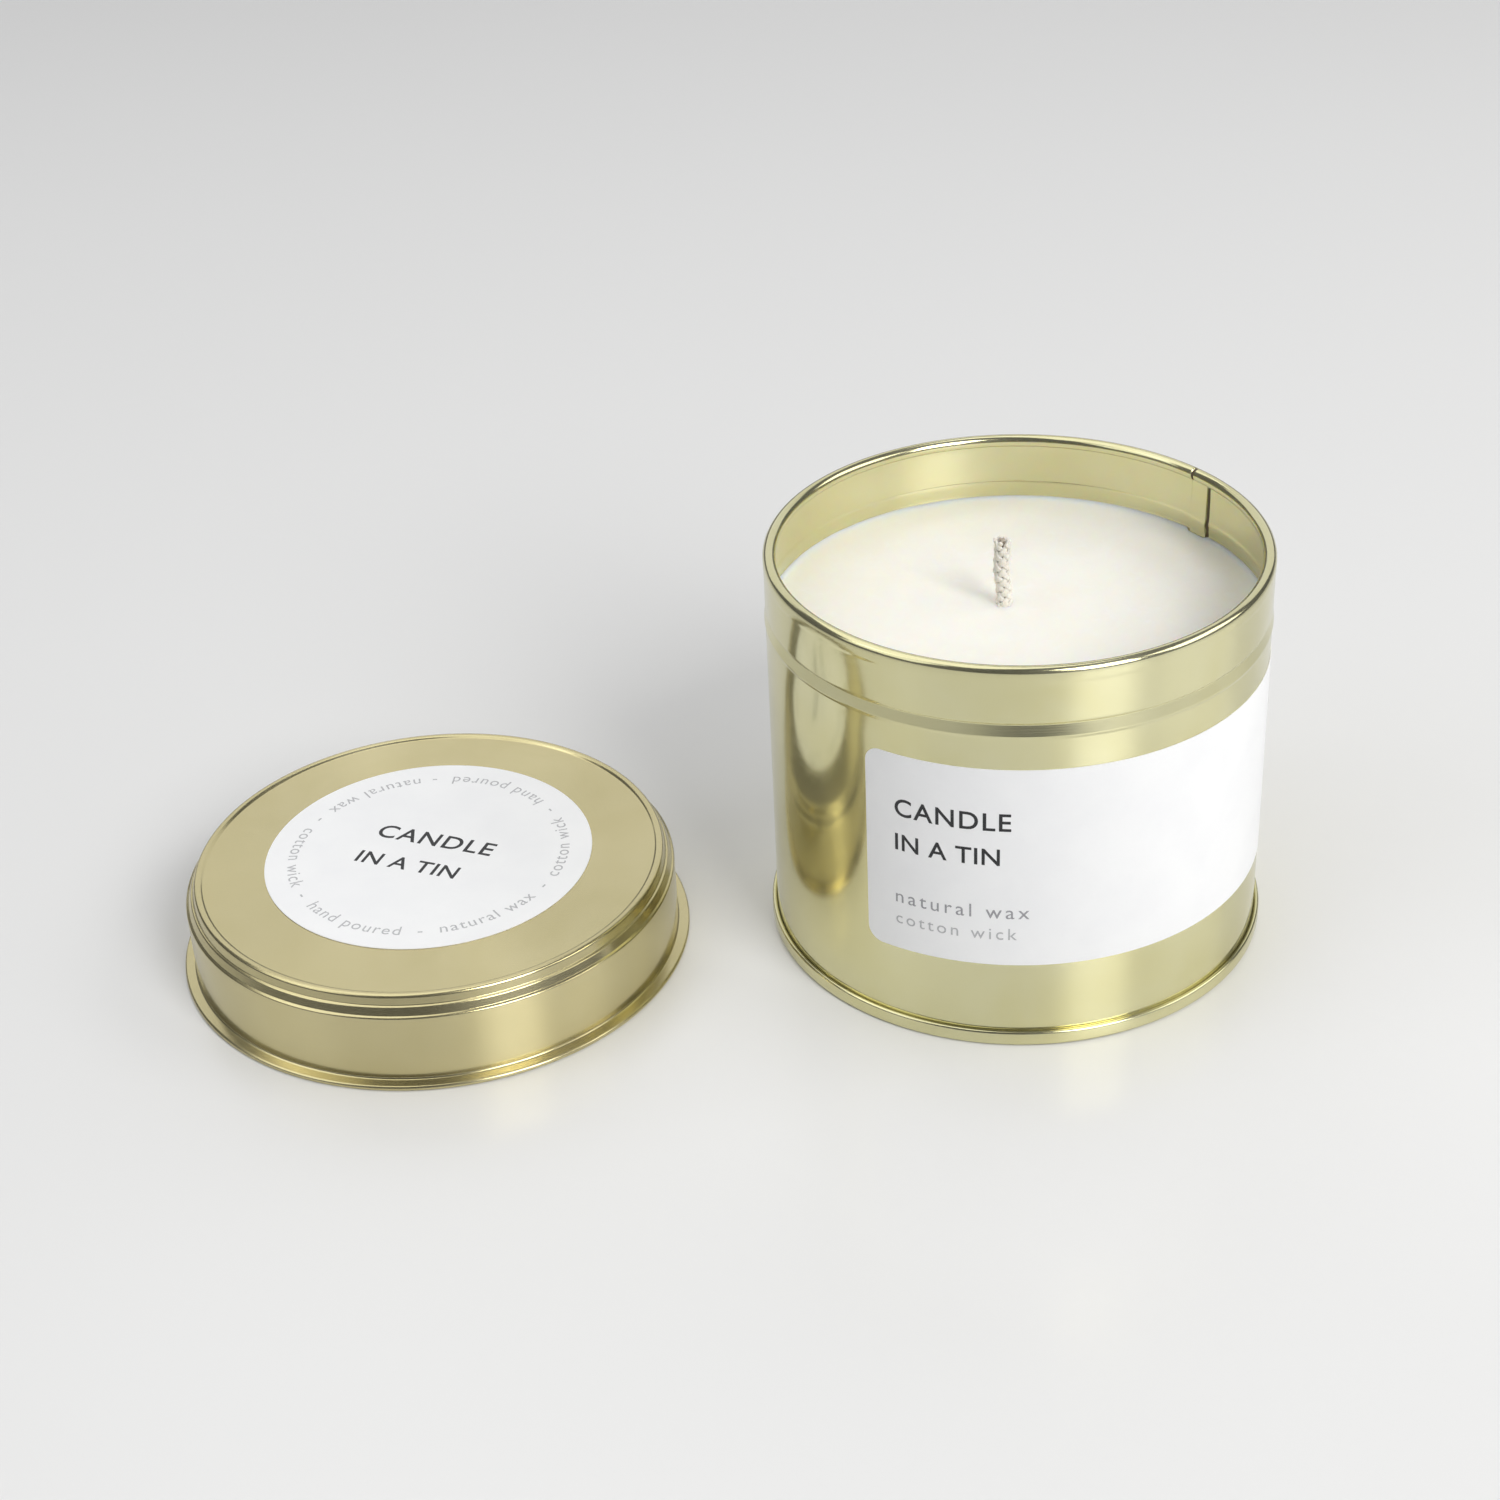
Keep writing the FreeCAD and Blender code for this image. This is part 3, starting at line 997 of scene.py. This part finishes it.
CAMERA_PLACE = Vector((-41.86, -358.88, 252.79))
CAMERA_TILT = math.radians(31.75)
CAMERA_ROLL = math.radians(-2.85)
CAMERA_LENS = 64.27
LIGHT_AIM = Vector((0, 0, 40))


def make_camera():
    """The camera stands in front, a little left of the tin, and looks down on the pair."""
    ahead = Vector((0, math.cos(CAMERA_TILT), -math.sin(CAMERA_TILT)))
    level_right = Vector((1, 0, 0))
    level_up = level_right.cross(ahead)
    right = level_right * math.cos(CAMERA_ROLL) + level_up * math.sin(CAMERA_ROLL)
    up = level_up * math.cos(CAMERA_ROLL) - level_right * math.sin(CAMERA_ROLL)
    data = bpy.data.cameras.new("camera")
    data.lens = CAMERA_LENS
    data.sensor_width = 36.0
    camera = bpy.data.objects.new("camera", data)
    camera.matrix_world = Matrix((right, up, -ahead)).transposed().to_4x4()
    camera.location = CAMERA_PLACE * MM
    bpy.context.scene.collection.objects.link(camera)
    bpy.context.scene.camera = camera


def area_light(name, azimuth, elevation, distance, size, power, colour=(1, 1, 1)):
    """A soft box that faces the tin from an azimuth and elevation, in degrees and millimetres."""
    data = bpy.data.lights.new(name, "AREA")
    data.shape = "RECTANGLE"
    data.size, data.size_y = size[0] * MM, size[1] * MM
    data.energy = power
    data.color = colour
    light = bpy.data.objects.new(name, data)
    a, e = math.radians(azimuth), math.radians(elevation)
    back = Vector((math.sin(a) * math.cos(e), -math.cos(a) * math.cos(e), math.sin(e)))
    light.location = (LIGHT_AIM + back * distance) * MM
    light.rotation_mode = "QUATERNION"
    light.rotation_quaternion = back.to_track_quat("Z", "Y")
    bpy.context.scene.collection.objects.link(light)


def make_lights():
    """Five soft boxes and a dim room."""
    area_light("front_right", 33, 38, 1400, (600, 840), 13.6, (1.0, 0.995, 0.98))
    area_light("right", 84, 34, 1600, (1120, 800), 7.0, (1.0, 0.99, 0.97))
    area_light("left", -70, 40, 2200, (1400, 1200), 6.4, (0.98, 0.99, 1.0))
    area_light("overhead", -128, 70, 2400, (2600, 2000), 22.0)
    area_light("back_wall", 180, 30, 3000, (5200, 1800), 23.5)
    world = bpy.data.worlds.new("studio")
    world.use_nodes = True
    background = world.node_tree.nodes["Background"]
    background.inputs["Color"].default_value = (0.96, 0.98, 1.0, 1)
    background.inputs["Strength"].default_value = 0.09
    bpy.context.scene.world = world
    bpy.context.scene.view_settings.view_transform = "Standard"


def make_floor():
    """A pale floor just under the parts, so that no two faces share a plane."""
    material, tree = new_tree("pale_floor")
    cloud = noise_of(tree, object_place(tree), 3.0, 2.0)
    finish_material(material, tree, {
        "Base Color": blend_colours(tree, cloud, (0.77, 0.77, 0.77, 1), (0.79, 0.79, 0.79, 1)),
        "Roughness": ramp(tree, cloud, 0.3, 0.7, 0.27, 0.31),
    })
    bm = bmesh.new()
    bmesh.ops.create_grid(bm, x_segments=1, y_segments=1, size=4.0)
    mesh = bpy.data.meshes.new("floor")
    bm.to_mesh(mesh)
    bm.free()
    floor = bpy.data.objects.new("floor", mesh)
    floor.location.z = -0.00002
    floor.data.materials.append(material)
    bpy.context.scene.collection.objects.link(floor)


# ---- build ---------------------------------------------------------------------------------------

make_camera()
make_lights()
make_floor()

bright_gold = tinplate("gold_tinplate", (0.71, 0.68, 0.41, 1), (0.67, 0.63, 0.34, 1),
                       roughness=0.12, haze=0.17, haze_roughness=0.5, haze_white=0.35)
satin_gold = tinplate("satin_gold_tinplate", (0.64, 0.57, 0.315, 1), (0.60, 0.53, 0.275, 1),
                      roughness=0.18, haze=0.22, haze_roughness=0.5, haze_white=0.2)
white_paper = paper()
make_wall(bright_gold)
# The seam's dark strips are painted shade, in the side seam's crevice and across the curl's joint.
make_seam_painted_shade(rubbery("seam_painted_shade", (0.16, 0.12, 0.07, 1), (0.07, 0.05, 0.03, 1)))
make_base(bright_gold)
make_wall_label(white_paper)
make_wax(wax_material())
yarn = cotton("wick_cotton", (0.95, 0.925, 0.87, 1), (0.80, 0.74, 0.66, 1), 0.25)
make_wick_braid(yarn)
make_wick_fuzz(yarn)
make_wick_core(cotton("wick_paper", (0.62, 0.55, 0.46, 1), (0.34, 0.29, 0.24, 1), 0.2))
make_lid(satin_gold)
make_round_label(white_paper)
make_print(
    ink("black_ink", (0.012, 0.013, 0.015, 1), (0.035, 0.036, 0.04, 1)),
    ink("grey_ink", (0.30, 0.30, 0.32, 1), (0.42, 0.42, 0.44, 1)),
    ink("pale_grey_ink", (0.45, 0.45, 0.47, 1), (0.58, 0.58, 0.60, 1)),
)

hidden_finishes = {
    "base_seam_compound": rubbery("sealing_rubber", (0.55, 0.50, 0.42, 1), (0.42, 0.37, 0.30, 1)),
    "wick_sticker": rubbery("adhesive_pad", (0.88, 0.86, 0.78, 1), (0.76, 0.73, 0.64, 1)),
    "wick_sustainer": bare_metal(),
}
for name, material in hidden_finishes.items():
    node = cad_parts[name]
    node.data.materials.clear()
    node.data.materials.append(material)
